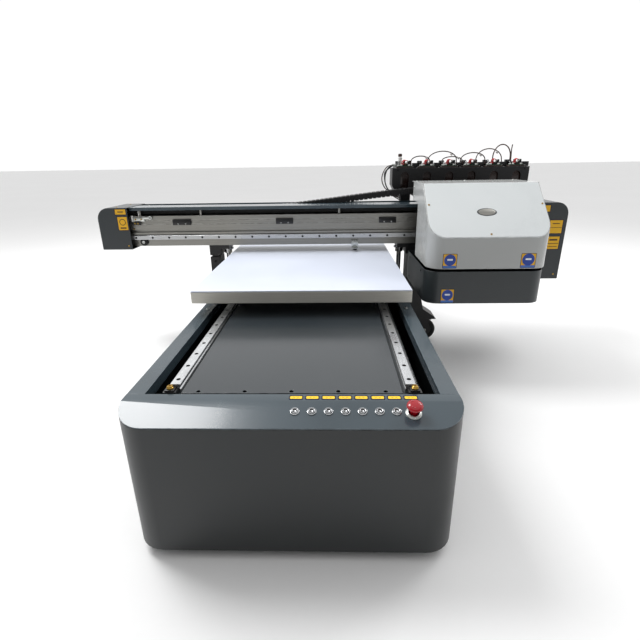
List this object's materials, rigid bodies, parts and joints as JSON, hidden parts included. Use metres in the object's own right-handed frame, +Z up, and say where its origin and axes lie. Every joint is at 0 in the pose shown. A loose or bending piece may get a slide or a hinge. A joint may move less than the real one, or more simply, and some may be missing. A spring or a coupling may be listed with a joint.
{
  "type": "flatbed uv printer",
  "caption": "Flatbed UV printer with a moving white table, a lifting beam, and a print carriage parked over its capping station.",
  "frame": {"origin": "on the floor, at the middle of the bounding box in plan", "axes": "+X to the operator's right along the beam, +Y from the control panel to the rear, +Z up"},
  "size_m": [1.792, 1.8, 0.7878],
  "materials": {
    "slate_paint": "satin powder coat, dark slate",
    "deck_paint": "semi-gloss powder coat, blue-grey",
    "black_paint": "matte black powder coat",
    "white_paint": "light grey-white satin paint",
    "white_skin": "white laminated table skin",
    "anodised": "clear anodised, drawn along its length",
    "bearing_steel": "ground",
    "button_steel": "polished",
    "red_plastic": "glossy red",
    "black_plastic": "moulded black",
    "rubber": "matte black",
    "smoked_plastic": "smoked, semi-gloss"
  },
  "bodies": {
    "base": {"base_shell": "slate_paint", "electronics_box": "white_paint", "foot_front_left": "rubber", "foot_front_right": "rubber", "foot_rear_left": "rubber", "foot_rear_right": "rubber", "rail_girder_left": "slate_paint", "rail_girder_right": "slate_paint", "front_control_panel": "deck_paint", "side_strip_left": "deck_paint", "side_strip_right": "deck_paint", "centre_cover_plate": "deck_paint", "table_rail_left": "bearing_steel", "table_rail_right": "bearing_steel", "table_motor": "black_plastic", "lift_column_left": "black_paint", "lift_column_right": "black_paint"},
    "table_screw": {"table_screw": "bearing_steel"},
    "table": {"table_core": "anodised", "table_top": "white_skin", "table_runner_left": "bearing_steel", "table_runner_right": "bearing_steel", "table_nut_bracket": "bearing_steel"},
    "lift_screw_left": {"lift_screw_left": "bearing_steel"},
    "lift_screw_right": {"lift_screw_right": "bearing_steel"},
    "beam": {"beam_extrusion": "anodised", "beam_rail": "bearing_steel", "beam_top_cover": "deck_paint", "left_end_cover": "slate_paint", "right_end_cover": "slate_paint", "beam_bracket_left": "black_paint", "beam_bracket_right": "black_paint", "capping_housing": "slate_paint", "ink_tank_box": "black_paint", "ink_tanks": "smoked_plastic", "ink_tube": "smoked_plastic", "carriage_motor": "black_plastic", "carriage_belt": "rubber"},
    "idler_pulley": {"idler_pulley": "bearing_steel"},
    "drive_pulley": {"drive_pulley": "bearing_steel"},
    "cap_tray": {"cap_tray": "rubber"},
    "carriage": {"carriage_cover": "white_paint", "carriage_lid": "white_paint", "carriage_back_plate": "anodised", "carriage_slider": "bearing_steel", "head_block": "black_plastic", "uv_lamp": "anodised", "drag_chain": "black_plastic"},
    "fork_left": {"caster_fork_left": "black_paint"},
    "fork_right": {"caster_fork_right": "black_paint"},
    "wheel_left": {"caster_wheel_left": "rubber"},
    "wheel_right": {"caster_wheel_right": "rubber"},
    "estop": {"estop_button": "red_plastic"},
    "button_1": {"button_1": "button_steel"},
    "button_2": {"button_2": "button_steel"},
    "button_3": {"button_3": "button_steel"},
    "button_4": {"button_4": "button_steel"},
    "button_5": {"button_5": "button_steel"},
    "button_6": {"button_6": "button_steel"},
    "button_7": {"button_7": "button_steel"}
  },
  "joints": [
    {"name": "table_slide", "type": "slide", "parent": "base", "child": "table", "axis": [0, 1, 0], "range_m": [-0.43, 0.43]},
    {"name": "table_screw_spin", "type": "hinge", "parent": "base", "child": "table_screw", "pos_m": [0.194, -0.78, 0.268], "axis": [0, 1, 0], "range_deg": [-7760, 7760]},
    {"name": "beam_lift", "type": "slide", "parent": "base", "child": "beam", "axis": [0, 0, 1], "range_m": [0, 0.1]},
    {"name": "lift_screw_left_spin", "type": "hinge", "parent": "base", "child": "lift_screw_left", "pos_m": [-0.4155, 0.22, 0.2233], "axis": [0, 0, 1], "range_deg": [-20, 7220]},
    {"name": "lift_screw_right_spin", "type": "hinge", "parent": "base", "child": "lift_screw_right", "pos_m": [0.2815, 0.22, 0.2233], "axis": [0, 0, 1], "range_deg": [-20, 7220]},
    {"name": "carriage_slide", "type": "slide", "parent": "beam", "child": "carriage", "axis": [1, 0, 0], "range_m": [-0.94, 0], "deforming": ["drag_chain"]},
    {"name": "idler_pulley_spin", "type": "hinge", "parent": "beam", "child": "idler_pulley", "pos_m": [-0.812, 0.2085, 0.5445], "axis": [0, 0, 1], "range_deg": [-3611, 20]},
    {"name": "drive_pulley_spin", "type": "hinge", "parent": "beam", "child": "drive_pulley", "pos_m": [0.7915, 0.2085, 0.5445], "axis": [0, 0, 1], "range_deg": [-3611, 20]},
    {"name": "cap_lift", "type": "slide", "parent": "beam", "child": "cap_tray", "axis": [0, 0, 1], "range_m": [0, 0.012]},
    {"name": "caster_swivel_left", "type": "hinge", "parent": "base", "child": "fork_left", "pos_m": [-0.515, 0.22, 0.1047], "axis": [0, 0, 1], "continuous": true},
    {"name": "caster_roll_left", "type": "hinge", "parent": "fork_left", "child": "wheel_left", "pos_m": [-0.54, 0.22, 0.0455], "axis": [0, 1, 0], "continuous": true},
    {"name": "caster_swivel_right", "type": "hinge", "parent": "base", "child": "fork_right", "pos_m": [0.381, 0.22, 0.1047], "axis": [0, 0, 1], "continuous": true},
    {"name": "caster_roll_right", "type": "hinge", "parent": "fork_right", "child": "wheel_right", "pos_m": [0.406, 0.22, 0.0455], "axis": [0, 1, 0], "continuous": true},
    {"name": "button_1_press", "type": "slide", "parent": "base", "child": "button_1", "axis": [0, 0.3043, -0.9526], "range_m": [0, 0.0025], "stiffness_N_per_m": 400, "springref_m": -0.001},
    {"name": "button_2_press", "type": "slide", "parent": "base", "child": "button_2", "axis": [0, 0.3043, -0.9526], "range_m": [0, 0.0025], "stiffness_N_per_m": 400, "springref_m": -0.001},
    {"name": "button_3_press", "type": "slide", "parent": "base", "child": "button_3", "axis": [0, 0.3043, -0.9526], "range_m": [0, 0.0025], "stiffness_N_per_m": 400, "springref_m": -0.001},
    {"name": "button_4_press", "type": "slide", "parent": "base", "child": "button_4", "axis": [0, 0.3043, -0.9526], "range_m": [0, 0.0025], "stiffness_N_per_m": 400, "springref_m": -0.001},
    {"name": "button_5_press", "type": "slide", "parent": "base", "child": "button_5", "axis": [0, 0.3043, -0.9526], "range_m": [0, 0.0025], "stiffness_N_per_m": 400, "springref_m": -0.001},
    {"name": "button_6_press", "type": "slide", "parent": "base", "child": "button_6", "axis": [0, 0.3043, -0.9526], "range_m": [0, 0.0025], "stiffness_N_per_m": 400, "springref_m": -0.001},
    {"name": "button_7_press", "type": "slide", "parent": "base", "child": "button_7", "axis": [0, 0.3043, -0.9526], "range_m": [0, 0.0025], "stiffness_N_per_m": 400, "springref_m": -0.001},
    {"name": "estop_press", "type": "slide", "parent": "base", "child": "estop", "axis": [0, 0.3043, -0.9526], "range_m": [0, 0.006], "stiffness_N_per_m": 600, "springref_m": -0.001}
  ],
  "couplings": [
    {"joint": "table_screw_spin", "follows": "table_slide", "rad_per_m": -314.16},
    {"joint": "lift_screw_left_spin", "follows": "beam_lift", "rad_per_m": 1256.6},
    {"joint": "lift_screw_right_spin", "follows": "beam_lift", "rad_per_m": 1256.6},
    {"joint": "idler_pulley_spin", "follows": "carriage_slide", "rad_per_m": 66.667},
    {"joint": "drive_pulley_spin", "follows": "carriage_slide", "rad_per_m": 66.667}
  ]
}
